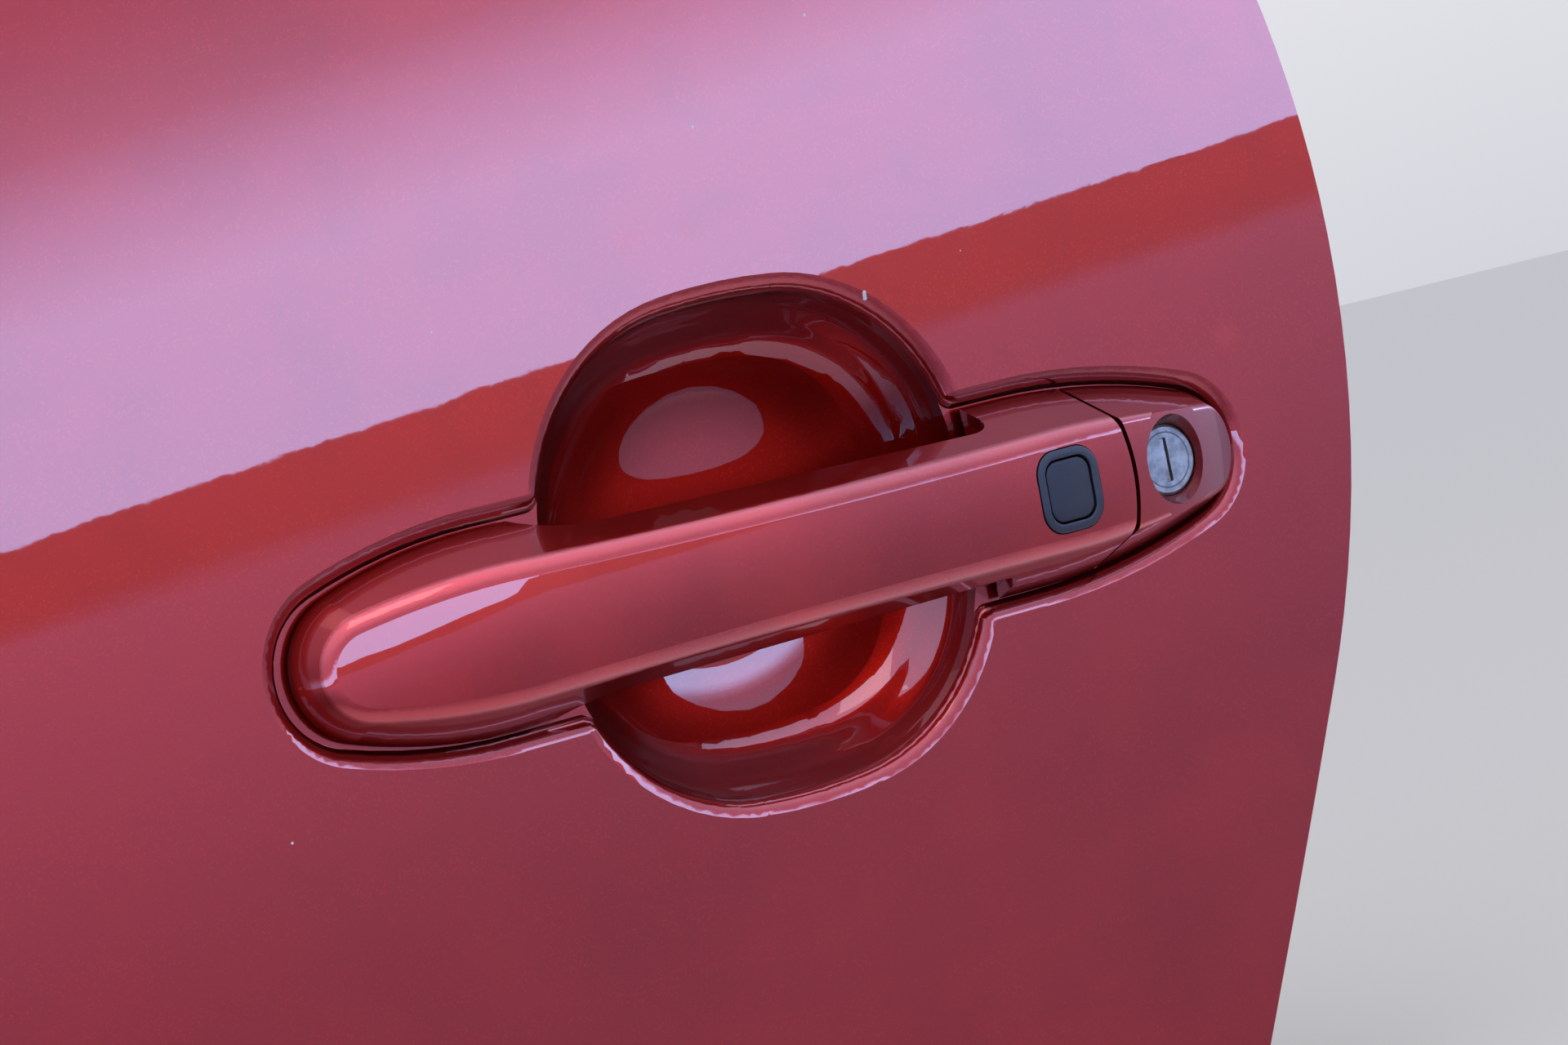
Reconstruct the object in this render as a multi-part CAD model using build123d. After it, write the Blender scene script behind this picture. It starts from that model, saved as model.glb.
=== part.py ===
from build123d import *
import math
import os

# Pull handle set of a car's left front door, on a section of the door's outer skin.
# X runs rearward along the car, Y inward through the door and Z up, all in millimetres.
# The origin is midway between the two screw bosses, on the plane of their rear faces.

# Door skin
SKIN_DEPTH = 46.0            # outer skin to the rear faces of the screw bosses
SKIN_THICKNESS = 0.8
BARREL_RADIUS = 1900.0       # curve of the door up and down
SECTION_FRONT = 202.0        # cut edge of the section in front of the origin
SECTION_TOP = 148.0
SECTION_BOTTOM = 160.0
SHUT_RADIUS = 245.0          # bowed upper part of the rear shut edge
SHUT_REACH = 156.0           # rearmost point of that edge
SHUT_BOW_Z = 44.0            # height of that point
SHUT_LEAN = 25.0             # lean of the straight lower part, in degrees
HEM_WIDTH = 12.0
HEM_THICKNESS = 1.6

# Finger pocket pressed into the skin, and the recessed land round the handle
POCKET_X = -4.0
POCKET_Z = 2.5
POCKET_HALF = 52.5
POCKET_SIDE_RADIUS = 130.0
POCKET_DEPTH = 26.5
POCKET_BOWL_RADIUS = 115.0   # its hollow floor
POCKET_WALL_RADIUS = 18.5    # between floor and walls
LAND_DEPTH = 3.5
LAND_MARGIN = 1.2            # land's outline outside the handle's
LAND_FRONT_PLAY = 2.2        # more land before the front tip, which swings that way
PRESS_DRAFT = 14.0
CORNER_RADIUS = 3.8          # where pocket and land meet
CORNER_CLEAR = 1.4           # between that corner and the end of the pocket's flat side
RIM_RADIUS = 3.8             # rolled edge of pocket and land

# Handle outline where it meets the skin, and its bowed and crowned face
HANDLE_Z = -0.7
HANDLE_HALF = 20.8
FRONT_TIP = 116.0
FRONT_SHOULDER = 70.0
FRONT_TIP_RADIUS = 15.5
REAR_TIP = 117.0
REAR_SHOULDER = 60.0
REAR_TIP_RADIUS = 14.0
SIDE_DRAFT = 22.5
FACE_HEIGHT = 20.4           # highest point of the face above the skin
FACE_PEAK_X = 12.0
FACE_BOW = 1250.0
FRONT_FALL_X = 68.0
FRONT_FALL_RADIUS = 139.0
REAR_FALL_X = 66.0
REAR_FALL_RADIUS = 94.0
CROWN_RADIUS = 110.0         # curve of the face up and down
CREST_RISE = 4.5             # its highest line above the middle, which tilts the face down
CROWN_HALF = 32.0            # the crowned section reaches this far each way
FALL_REACH = 0.8             # how far each falling end is turned over its radius
FORM_DEPTH = 42.0
CREASE_RADIUS = 4.5
CAP_CREASE_RADIUS = 1.8
WALL = 2.6
FIT = 0.15                   # static gap between neighbouring mouldings
FOOT_SINK = 1.5              # the feet reach this far below the skin surface

# Strap and feet of the grip
STRAP_FRONT_LIFT = 7.0       # back of the strap above the skin, at its front end
STRAP_REAR_LIFT = 11.0       # and at its rear end
FRONT_FOOT_END = -66.0
FRONT_FOOT_BLEND = 20.0
REAR_FOOT_START = 49.5
REAR_FOOT_BLEND = 6.0
SPLIT_X = 75.0               # gap between the grip and the lock cap
SPLIT_GAP = 1.2
SPLIT_BOW = 1.8              # the gap bows rearward across the face
SPLIT_BOW_HALF = 12.5
SPLIT_RUN = 4.0              # the grip's crease is rounded this far past the gap before its cut

# Front hinge and rear pull arm
HINGE_X = -107.0
HINGE_BEHIND = 5.7           # hinge axis behind the back of the land
PIN_RADIUS = 2.0
PIN_PLAY = 0.05
KNUCKLE_RADIUS = 4.6
KNUCKLE_HEIGHT = 10.0
NECK_WIDTH = 7.0
FORK_GAP = 0.5
ARM_X = 64.0
ARM_WIDTH = 7.0
ARM_HEIGHT = 16.0
NOSE_DEPTH = 8.4
NOSE_THICKNESS = 4.0

# Request button
BUTTON_X = 59.0
BUTTON_WIDTH = 16.0
BUTTON_HEIGHT = 17.6
BUTTON_CORNER = 5.2
BUTTON_RING = 1.5
BUTTON_GROOVE = 0.35
BUTTON_BODY = 7.0
BUTTON_FIT = 0.25
BUTTON_PROUD = 0.35
PAD_PROUD = 0.6

# Lock in the fixed cap
LOCK_X = 92.5
LOCK_RADIUS = 7.75
LOCK_SINK = 5.2              # lock face below the cap face
FUNNEL_RADIUS = 9.9
BARREL_BODY_RADIUS = 10.0
BARREL_BACK_DEPTH = 18.0
BARREL_BACK_PLAY = 0.3
BARREL_CLEAR = 1.0           # hole in the land round the lock's body
LOCK_CHAMFER = 0.6
SPIGOT = 6.0
PLUG_RADIUS = 6.0
KEYWAY_LENGTH = 9.6
KEYWAY_WIDTH = 1.7
KEYWAY_DEPTH = 9.0
TAIL_LENGTH = 15.0
TAIL_THICKNESS = 3.0
TAIL_RADIUS = 3.6
EYE_RADIUS = 1.6

# Gaskets between the feet and the land
FRONT_GASKET = 0.6
REAR_GASKET = 1.7
GASKET_INSET = 0.8
GASKET_WIDTH = 2.0
GASKET_FRONT_END = 66.0
GASKET_REAR_START = 54.0

# Openings in the land
OPENING_CLEAR = 2.4
OPENING_CORNER = 2.0
ARM_CLEAR = 3.4              # the arm swings a little along the car
SWING_CLEAR = 12.0           # behind the knuckle, for hooking the grip in

# Base behind the skin
PLATE = 3.0
FRONT_PAD_OUT = 119.0
FRONT_PAD_IN = 61.0
PAD_HALF = 20.0
REAR_PAD_IN = 50.0
REAR_PAD_OUT = 119.0
REAR_PAD_LOW = 22.0
REAR_PAD_HIGH = 29.8
PAD_CORNER = 9.0
RISER = 5.0
BRIDGE_RIBS = 5
TOWER_WIDTH = 16.0
FORK_WALL = 4.0
FLANGE = 5.0
FLANGE_WALL = 2.5
SCREW_SPACING = 220.0
SCREW_HOLE_RADIUS = 3.25
SCREW_DEPTH = 20.0
BOSS_RADIUS = 7.0
BRIDGE_HALF = 10.0
BRIDGE_FRONT_DEPTH = 14.0
BRIDGE_BACK_DEPTH = 4.0

# Release lever
LEVER_DEPTH = 24.0
LEVER_Z = 25.0
LEVER_REACH = 22.0
LEVER_REST = 28.0
LEVER_HUB_RADIUS = 4.5
LEVER_LENGTH = 13.0
FINGER_RADIUS = 3.0
EYE_REACH = 16.0
EYE_REST = 20.0
WEIGHT_REACH = 14.0
WEIGHT_RADIUS = 5.0
WEIGHT_LENGTH = 18.0
LUG = 3.0
LUG_GAP = 0.3
FINGER_WIDTH = 4.6
OUTPUT_WIDTH = 3.0
WEIGHT_CUP = 1.6
WEIGHT_CHAMFER = 0.8
SPRING_LEG = 12.0
SPRING_RADIUS = 5.6
SPRING_WIRE = 0.6
SPRING_TURNS = 4

SKIN_Y = -SKIN_DEPTH
SKIN_BACK = SKIN_Y + SKIN_THICKNESS
LAND_Y = SKIN_Y + LAND_DEPTH
LAND_BACK = LAND_Y + SKIN_THICKNESS
FOOT_Y = SKIN_Y + FOOT_SINK
CAP_Y = LAND_Y - REAR_GASKET
HINGE_Y = LAND_BACK + HINGE_BEHIND
FACE_TOP = SKIN_Y - FACE_HEIGHT
PAST = 7.0                   # how far a cut runs past the face
OVER = 1.0                   # and past a plate
FAR = 400.0


def facing(y):
    """Plane across the car at depth y, seen from outside: its x is X and its y is Z."""
    return Plane(origin=(0, y, 0), x_dir=(1, 0, 0), z_dir=(0, -1, 0))


def prism(sketch, y_from, y_to, draft=0.0):
    """Solid from a sketch at y_from to y_to, drawn in by the draft angle on the way."""
    return extrude(facing(y_from) * sketch, amount=y_from - y_to, taper=draft)


def arc(centre, radius, start, middle, end):
    """Arc about a centre, through three angles in degrees."""
    points = []
    for angle in (start, middle, end):
        turn = math.radians(angle)
        points.append((centre[0] + radius * math.cos(turn), centre[1] + radius * math.sin(turn)))
    return ThreePointArc(*points)


def handle_outline(grow=0.0, front_tip=FRONT_TIP):
    """Long outline with two bullet ends, each of a flat arc and a small tip arc."""
    half = HANDLE_HALF + grow
    edges = []
    for side, tip, shoulder, tip_radius in (
        (-1, front_tip, FRONT_SHOULDER, FRONT_TIP_RADIUS),
        (1, REAR_TIP, REAR_SHOULDER, REAR_TIP_RADIUS),
    ):
        run = tip - shoulder - tip_radius
        flat = (run**2 + HANDLE_HALF**2 - tip_radius**2) / (2 * (HANDLE_HALF - tip_radius))
        lean = math.degrees(math.atan2(run, flat - HANDLE_HALF))
        for up in (1, -1):
            across = 90 * up
            turned = across - side * up * lean
            level = HANDLE_Z - up * (flat - HANDLE_HALF)
            edges.append(
                arc((side * shoulder, level), flat + grow, across, (across + turned) / 2, turned)
            )
        tip_centre = (side * (tip - tip_radius), HANDLE_Z)
        middle = 0 if side > 0 else 180
        edges.append(
            arc(tip_centre, tip_radius + grow, middle - 90 + lean, middle, middle + 90 - lean)
        )
    for up in (1, -1):
        level = HANDLE_Z + up * half
        edges.append(Line((-FRONT_SHOULDER, level), (REAR_SHOULDER, level)))
    return make_face(edges)


def pocket_outline(grow=0.0):
    """Rounded square: four nearly flat sides that end short of the land, and round corners."""
    flat = HANDLE_HALF + LAND_MARGIN - abs(POCKET_Z - HANDLE_Z) - CORNER_RADIUS - CORNER_CLEAR
    lean = math.asin(flat / POCKET_SIDE_RADIUS)
    bulge = POCKET_SIDE_RADIUS * (1 - math.cos(lean))
    radius = (POCKET_HALF - flat - bulge) / (math.cos(lean) - math.sin(lean))
    reach = (flat - radius * math.sin(lean)) * math.sqrt(2)
    back = POCKET_SIDE_RADIUS - POCKET_HALF
    lean = math.degrees(lean)
    edges = []
    for across in (0, 90, 180, 270):
        turn = math.radians(across)
        side = (POCKET_X - back * math.cos(turn), POCKET_Z - back * math.sin(turn))
        edges.append(arc(side, POCKET_SIDE_RADIUS + grow, across - lean, across, across + lean))
        turn = math.radians(across + 45)
        corner = (POCKET_X + reach * math.cos(turn), POCKET_Z + reach * math.sin(turn))
        edges.append(arc(corner, radius + grow, across + lean, across + 45, across + 90 - lean))
    return make_face(edges)


def land_outline(grow=0.0):
    """Outline of the recessed land round the handle."""
    return handle_outline(LAND_MARGIN + grow, FRONT_TIP + LAND_FRONT_PLAY)


def outside(depth):
    """Everything outside the door's barrelled surface, sunk by depth."""
    surface = SKIN_Y + depth
    block = Pos(0, surface - FAR / 8, 0) * Box(1.2 * FAR, FAR / 2, FAR)
    door = Pos(0, surface + BARREL_RADIUS, 0) * Rot(0, 90, 0) * Cylinder(BARREL_RADIUS, 2 * FAR)
    return block - door


def pressing(outline, depth, y_to):
    """Solid from above the skin down to y_to, drawn in on the way and true to size at the skin."""
    slope = math.tan(math.radians(PRESS_DRAFT))
    ends = []
    for y in (SKIN_Y - 2 * LAND_DEPTH, y_to + depth):
        ends.append(facing(y) * outline(depth + (SKIN_Y - y) * slope))
    return loft(ends, ruled=True)


def is_corner(edge, land_y):
    """Whether an edge of the pressing is an upright corner between pocket and land."""
    box = edge.bounding_box()
    upright = box.max.Y - box.min.Y > LAND_DEPTH and abs(box.max.Y - land_y) < FIT
    return upright and abs(edge.center().X - POCKET_X) < POCKET_HALF


def air_side(depth):
    """Air outside the pressed panel, or outside a panel sunk by depth."""
    pocket = pressing(pocket_outline, depth, SKIN_Y + POCKET_DEPTH + PAST)
    bowl = Pos(POCKET_X, SKIN_Y + POCKET_DEPTH - POCKET_BOWL_RADIUS, POCKET_Z)
    pocket = pocket & bowl * Sphere(POCKET_BOWL_RADIUS + depth)
    floor = [face for face in pocket.faces() if face.geom_type == GeomType.SPHERE]
    pocket = fillet(floor[0].edges(), POCKET_WALL_RADIUS + depth)
    hollow = pocket + pressing(land_outline, depth, LAND_Y)
    corners = [edge for edge in hollow.edges() if is_corner(edge, LAND_Y + depth)]
    air = outside(depth) + fillet(corners, CORNER_RADIUS - depth)
    pierced = [face for face in air.faces() if face.inner_wires()]
    return fillet(pierced[0].inner_wires()[0].edges(), RIM_RADIUS - depth)


def section_outline():
    """Outline of the piece of door, with the real shut edge at the rear."""
    centre_x = SHUT_REACH - SHUT_RADIUS
    radius = SHUT_RADIUS
    top = math.degrees(math.asin((SECTION_TOP - SHUT_BOW_Z) / SHUT_RADIUS))
    lean = math.radians(SHUT_LEAN)
    turn = (centre_x + radius * math.cos(lean), SHUT_BOW_Z - radius * math.sin(lean))
    foot = turn[0] - (turn[1] + SECTION_BOTTOM) * math.tan(lean)
    crest = centre_x + radius * math.cos(math.radians(top))
    crest_z = SHUT_BOW_Z + radius * math.sin(math.radians(top))
    edge = arc((centre_x, SHUT_BOW_Z), radius, top, (top - SHUT_LEAN) / 2, -SHUT_LEAN)
    rest = Polyline(
        turn, (foot, -SECTION_BOTTOM), (-SECTION_FRONT, -SECTION_BOTTOM),
        (-SECTION_FRONT, crest_z), (crest, crest_z),
    )
    return make_face([edge, rest])


def door_skin():
    """Pressed outer panel with finger pocket, land, openings and hemmed shut edge."""
    panel = air_side(SKIN_THICKNESS) - air_side(0)
    everything = prism(section_outline(), -FAR / 2, FAR / 2)
    panel = panel & everything
    band = everything - Pos(-HEM_WIDTH, 0, 0) * everything
    band = band & split_side(LOCK_X, True)
    hem = (outside(SKIN_THICKNESS + HEM_THICKNESS) - outside(SKIN_THICKNESS)) & band
    panel = panel + hem
    for opening in skin_openings():
        panel = panel - opening
    return panel


def skin_openings():
    """Holes in the land for the hinge knuckle, the pull arm and the lock."""
    front = HINGE_X - KNUCKLE_RADIUS - OPENING_CLEAR
    rear = HINGE_X + KNUCKLE_RADIUS + SWING_CLEAR
    height = KNUCKLE_HEIGHT + 2 * OPENING_CLEAR
    hook = Pos((front + rear) / 2, 0) * RectangleRounded(rear - front, height, OPENING_CORNER)
    width = ARM_WIDTH + 2 * ARM_CLEAR
    height = ARM_HEIGHT + 2 * OPENING_CLEAR
    arm = Pos(ARM_X, 0) * RectangleRounded(width, height, OPENING_CORNER)
    lock = Pos(LOCK_X, 0) * Circle(BARREL_BODY_RADIUS + BARREL_CLEAR)
    cuts = [Pos(0, HANDLE_Z) * cut for cut in (hook, arm, lock)]
    return [prism(cut, LAND_Y - OVER, LAND_BACK + OVER) for cut in cuts]


def crest_arcs():
    """Centre X and Y, radius and end Xs of the three arcs of the face's highest line."""
    peak = SKIN_Y - FACE_HEIGHT
    main = (FACE_PEAK_X, peak + FACE_BOW)
    arcs = []
    for side, fall_x, radius in (
        (-1, FRONT_FALL_X, FRONT_FALL_RADIUS), (1, REAR_FALL_X, REAR_FALL_RADIUS),
    ):
        sine = (side * fall_x - main[0]) / FACE_BOW
        gap = FACE_BOW - radius
        centre = (main[0] + gap * sine, main[1] - gap * math.sqrt(1 - sine**2))
        reach = side * FALL_REACH * radius
        arcs.append((centre, radius, side * fall_x, centre[0] + reach))
    arcs.append((main, FACE_BOW, -FRONT_FALL_X, REAR_FALL_X))
    return arcs


def crown_section(crest, depth, crown, plain):
    """Half section of a crest line, its front a crown or three flat strips."""
    turns = [math.asin(CROWN_HALF / crown) * share for share in (-1, -1 / 3, 0, 1 / 3, 1)]
    points = []
    for turn in turns:
        points.append((crest - crown + crown * math.cos(turn), crown * math.sin(turn)))
    if plain:
        front = Polyline(points[0], points[1], points[3], points[4])
    else:
        front = ThreePointArc(points[0], points[2], points[4])
    back = Polyline(points[4], (crest - depth, CROWN_HALF), (crest - depth, -CROWN_HALF), points[0])
    return make_face([front, back])


def under_face(inset=0.0):
    """Solid below the bowed and crowned face: three turned pieces on upright axes."""
    parts = []
    for centre, radius, start_x, end_x in crest_arcs():
        section = crown_section(
            radius - inset, FORM_DEPTH - inset, CROWN_RADIUS - inset, plain=inset > 0
        )
        low, high = sorted((start_x, end_x))
        first = math.asin((low - centre[0]) / radius)
        last = math.asin((high - centre[0]) / radius)
        upright = Plane(
            origin=(centre[0], centre[1], HANDLE_Z + CREST_RISE),
            x_dir=(math.sin(first), -math.cos(first), 0),
            z_dir=(math.cos(first), math.sin(first), 0),
        )
        axis = Axis((centre[0], centre[1], 0), (0, 0, 1))
        parts.append(revolve(upright * section, axis, math.degrees(last - first)))
    return parts[0] + parts[1] + parts[2]


def handle_form(foot_y, inset=0.0):
    """Whole handle, grip and cap in one: drafted sides under the crowned face.

    An inset form is the hollow inside it, with a plain roof of flat strips.
    """
    block = prism(handle_outline(-inset), foot_y, FACE_TOP - PAST, SIDE_DRAFT)
    return block & under_face(inset)


def crease_edges(form):
    """Edges between the crowned face and the drafted sides."""
    flat = (GeomType.PLANE, GeomType.CONE)
    side_edges = {edge for face in form.faces() if face.geom_type in flat for edge in face.edges()}
    crowned = [face for face in form.faces() if face.geom_type not in flat]
    edges = [edge for face in crowned for edge in face.edges() if edge in side_edges]
    return [edge for edge in edges if edge.bounding_box().size.X > FIT]


def split_side(x, rearward):
    """Half space in front of or behind a plane across the handle."""
    return Pos(x + (FAR / 2 if rearward else -FAR / 2), 0, 0) * Box(FAR, FAR, FAR)


def parting(x, rearward):
    """Half space in front of or behind the gap line, which bows rearward across the face."""
    low = HANDLE_Z - SPLIT_BOW_HALF
    high = HANDLE_Z + SPLIT_BOW_HALF
    bow = ThreePointArc((x, low), (x + SPLIT_BOW, HANDLE_Z), (x, high))
    end = FAR / 2 if rearward else -FAR / 2
    rest = Polyline((x, high), (x, FAR), (end, FAR), (end, -FAR), (x, -FAR), (x, low))
    return prism(make_face([bow, rest]), FAR / 2, -FAR / 2)


def strap_space(grow=0.0):
    """Room for the fingers behind the strap, blended into the two feet."""
    front = FRONT_FOOT_END - grow
    rear = REAR_FOOT_START + grow
    deep = SKIN_Y + POCKET_DEPTH
    front_back = SKIN_Y - STRAP_FRONT_LIFT - grow
    rear_back = SKIN_Y - STRAP_REAR_LIFT - grow
    outline = make_face(
        Polyline((front, deep), (front, front_back), (rear, rear_back), (rear, deep), (front, deep))
    )
    for place, radius in (((front, front_back), FRONT_FOOT_BLEND), ((rear, rear_back), REAR_FOOT_BLEND)):
        corner = outline.vertices().sort_by_distance((*place, 0))[0]
        outline = fillet(corner, radius)
    return extrude(outline, amount=FAR / 4, both=True)


def grip_cover():
    """Outer moulding of the grip, hollow from behind and open for the button."""
    outer = handle_form(FOOT_Y) & split_side(SPLIT_X + SPLIT_RUN, False)
    outer = fillet(crease_edges(outer), CREASE_RADIUS) & parting(SPLIT_X, False)
    inner = handle_form(FOOT_Y, WALL) & split_side(SPLIT_X - WALL, False)
    return outer - inner - strap_space() - button_well(BUTTON_FIT)


def grip_back():
    """Inner moulding of the grip, with the hinge knuckle and the pull arm."""
    gap = WALL + FIT
    core = handle_form(FOOT_Y, gap) & split_side(SPLIT_X - gap, False)
    core = core - strap_space(FIT) - button_well(BUTTON_FIT)
    return core + knuckle() + pull_arm()


def knuckle():
    """Eye on the front hinge pin, with the neck that reaches it through the skin."""
    eye = Pos(HINGE_X, HINGE_Y, HANDLE_Z) * Cylinder(KNUCKLE_RADIUS, KNUCKLE_HEIGHT)
    neck_y = FOOT_Y - FOOT_SINK
    neck = Pos(HINGE_X, (neck_y + HINGE_Y) / 2, HANDLE_Z) * Box(
        NECK_WIDTH, HINGE_Y - neck_y, KNUCKLE_HEIGHT
    )
    bore = Pos(HINGE_X, HINGE_Y, HANDLE_Z) * Cylinder(PIN_RADIUS + PIN_PLAY, FAR)
    return eye + neck - (bore & (eye + neck))


def pull_arm():
    """Arm through the skin, ending in the nose that lifts the lever's finger."""
    start = FOOT_Y - FOOT_SINK
    end = -NOSE_DEPTH + NOSE_THICKNESS
    arm = Pos(ARM_X, (start + end) / 2, HANDLE_Z) * Box(ARM_WIDTH, end - start, ARM_HEIGHT)
    slot_top = -NOSE_DEPTH
    slot_bottom = LAND_BACK + PLATE
    window = Pos(ARM_X, (slot_top + slot_bottom) / 2, HANDLE_Z + ARM_HEIGHT / 4) * Box(
        2 * ARM_WIDTH, slot_top - slot_bottom, ARM_HEIGHT / 2
    )
    return arm - window


def button_well(clearance):
    """Straight-sided hole in the grip's face for the request button."""
    outline = Pos(BUTTON_X, HANDLE_Z) * RectangleRounded(
        BUTTON_WIDTH + 2 * clearance, BUTTON_HEIGHT + 2 * clearance, BUTTON_CORNER + clearance
    )
    return prism(outline, FACE_TOP + BUTTON_BODY, FACE_TOP - PAST)


def button_front(proud):
    """Solid below a plain crown that follows the grip's face at the button."""
    lean = math.degrees(math.asin((BUTTON_X - FACE_PEAK_X) / FACE_BOW))
    radius = CROWN_RADIUS + proud
    axis = face_depth(BUTTON_X) + CROWN_RADIUS
    lay = Pos(BUTTON_X, axis, HANDLE_Z + CREST_RISE) * Rot(0, 90, lean)
    return lay * Cylinder(radius, 2 * BUTTON_WIDTH)


def button_shape(inset, y_back, proud):
    """Rounded square smaller than the button by the inset, crowned in front."""
    outline = RectangleRounded(
        BUTTON_WIDTH - 2 * inset, BUTTON_HEIGHT - 2 * inset, BUTTON_CORNER - inset
    )
    block = prism(Pos(BUTTON_X, HANDLE_Z) * outline, y_back, FACE_TOP - PAST)
    return block & button_front(proud)


def button_frame():
    """Ring round the button with a closed back, its front following the face of the grip."""
    whole = button_shape(0, FACE_TOP + BUTTON_BODY, BUTTON_PROUD)
    return whole - button_shape(BUTTON_RING, FACE_TOP + BUTTON_BODY - BUTTON_RING, PAST)


def button_pad():
    """Crowned rubber pad inside the ring."""
    bottom = FACE_TOP + BUTTON_BODY - BUTTON_RING
    return button_shape(BUTTON_RING + BUTTON_GROOVE, bottom, PAD_PROUD)


def face_depth(x):
    """Depth of the highest line of the handle's face at a place along it."""
    for centre, radius, start, end in crest_arcs():
        if min(start, end) <= x <= max(start, end):
            return centre[1] - math.sqrt(radius**2 - (x - centre[0]) ** 2)


def on_lock(radius, y_from, y_to, top_radius=None):
    """Round solid on the lock's axis between two depths."""
    length = abs(y_to - y_from)
    lay = Pos(LOCK_X, (y_from + y_to) / 2, HANDLE_Z) * Rot(90, 0, 0)
    if top_radius is None:
        return lay * Cylinder(radius, length)
    return lay * Cone(radius, top_radius, length)


def lock_cap():
    """Fixed rear end of the handle with the funnel of the key hole."""
    start = SPLIT_X + SPLIT_GAP
    form = handle_form(CAP_Y) & split_side(start - SPLIT_RUN, True)
    outer = fillet(crease_edges(form), CAP_CREASE_RADIUS) & parting(start, True)
    inner = handle_form(CAP_Y, WALL) & split_side(start + SPLIT_BOW + WALL, True)
    boss = on_lock(FUNNEL_RADIUS + WALL, CAP_Y, SKIN_Y - FACE_HEIGHT) & form
    face = face_depth(LOCK_X)
    sleeve = LOCK_RADIUS + FIT
    slope = (FUNNEL_RADIUS - sleeve) / LOCK_SINK
    funnel = on_lock(sleeve, face + LOCK_SINK, face - PAST, sleeve + slope * (LOCK_SINK + PAST))
    bore = on_lock(sleeve, CAP_Y + OVER, face + LOCK_SINK - OVER)
    return (outer - inner) + boss - funnel - bore


def lock_housing():
    """Stationary sleeve of the lock, with the wider body behind the skin."""
    face = face_depth(LOCK_X) + LOCK_SINK
    neck = on_lock(LOCK_RADIUS, face, LAND_BACK)
    neck = chamfer(neck.faces().sort_by(Axis.Y)[0].edges(), LOCK_CHAMFER)
    body = on_lock(BARREL_BODY_RADIUS, LAND_BACK + PLATE, -BARREL_BACK_DEPTH - BARREL_BACK_PLAY)
    link = on_lock(LOCK_RADIUS, LAND_BACK - OVER, LAND_BACK + PLATE + OVER)
    bore = on_lock(PLUG_RADIUS + PIN_PLAY, face - OVER, -BARREL_BACK_DEPTH + OVER)
    return neck + link + body - bore


def lock_plug():
    """Turning plug with the keyway and the tail spigot."""
    face = face_depth(LOCK_X) + LOCK_SINK
    plug = on_lock(PLUG_RADIUS, face, -BARREL_BACK_DEPTH)
    spigot = Pos(LOCK_X, -BARREL_BACK_DEPTH + TAIL_THICKNESS / 2, HANDLE_Z) * Box(
        SPIGOT, TAIL_THICKNESS, SPIGOT
    )
    keyway = Pos(LOCK_X, face + KEYWAY_DEPTH / 2 - OVER, HANDLE_Z) * Box(
        KEYWAY_WIDTH, KEYWAY_DEPTH + 2 * OVER, KEYWAY_LENGTH
    )
    return plug + spigot - keyway


def lock_tail():
    """Crank on the plug's end, with the eye for the latch rod."""
    middle = -BARREL_BACK_DEPTH + TAIL_THICKNESS / 2
    hub = Pos(LOCK_X, middle, HANDLE_Z) * Rot(90, 0, 0) * Cylinder(PLUG_RADIUS, TAIL_THICKNESS)
    tip = Pos(LOCK_X - TAIL_LENGTH, middle, HANDLE_Z) * Rot(90, 0, 0)
    web = Pos(LOCK_X - TAIL_LENGTH / 2, middle, HANDLE_Z) * Box(
        TAIL_LENGTH, TAIL_THICKNESS, 2 * TAIL_RADIUS
    )
    crank = hub + web + tip * Cylinder(TAIL_RADIUS, TAIL_THICKNESS)
    socket = Pos(LOCK_X, middle, HANDLE_Z) * Box(SPIGOT, 2 * TAIL_THICKNESS, SPIGOT)
    return crank - socket - tip * Cylinder(EYE_RADIUS, 2 * TAIL_THICKNESS)


def gasket(y_from, y_to, rearward):
    """Rubber ring under the front foot, or under the rear foot and the cap."""
    ring = prism(handle_outline(-GASKET_INSET), y_from, y_to)
    inner = handle_outline(-GASKET_INSET - GASKET_WIDTH)
    ring = ring - prism(inner, y_from + OVER, y_to - OVER)
    limit = GASKET_REAR_START if rearward else -GASKET_FRONT_END
    return ring & split_side(limit, rearward)


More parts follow.
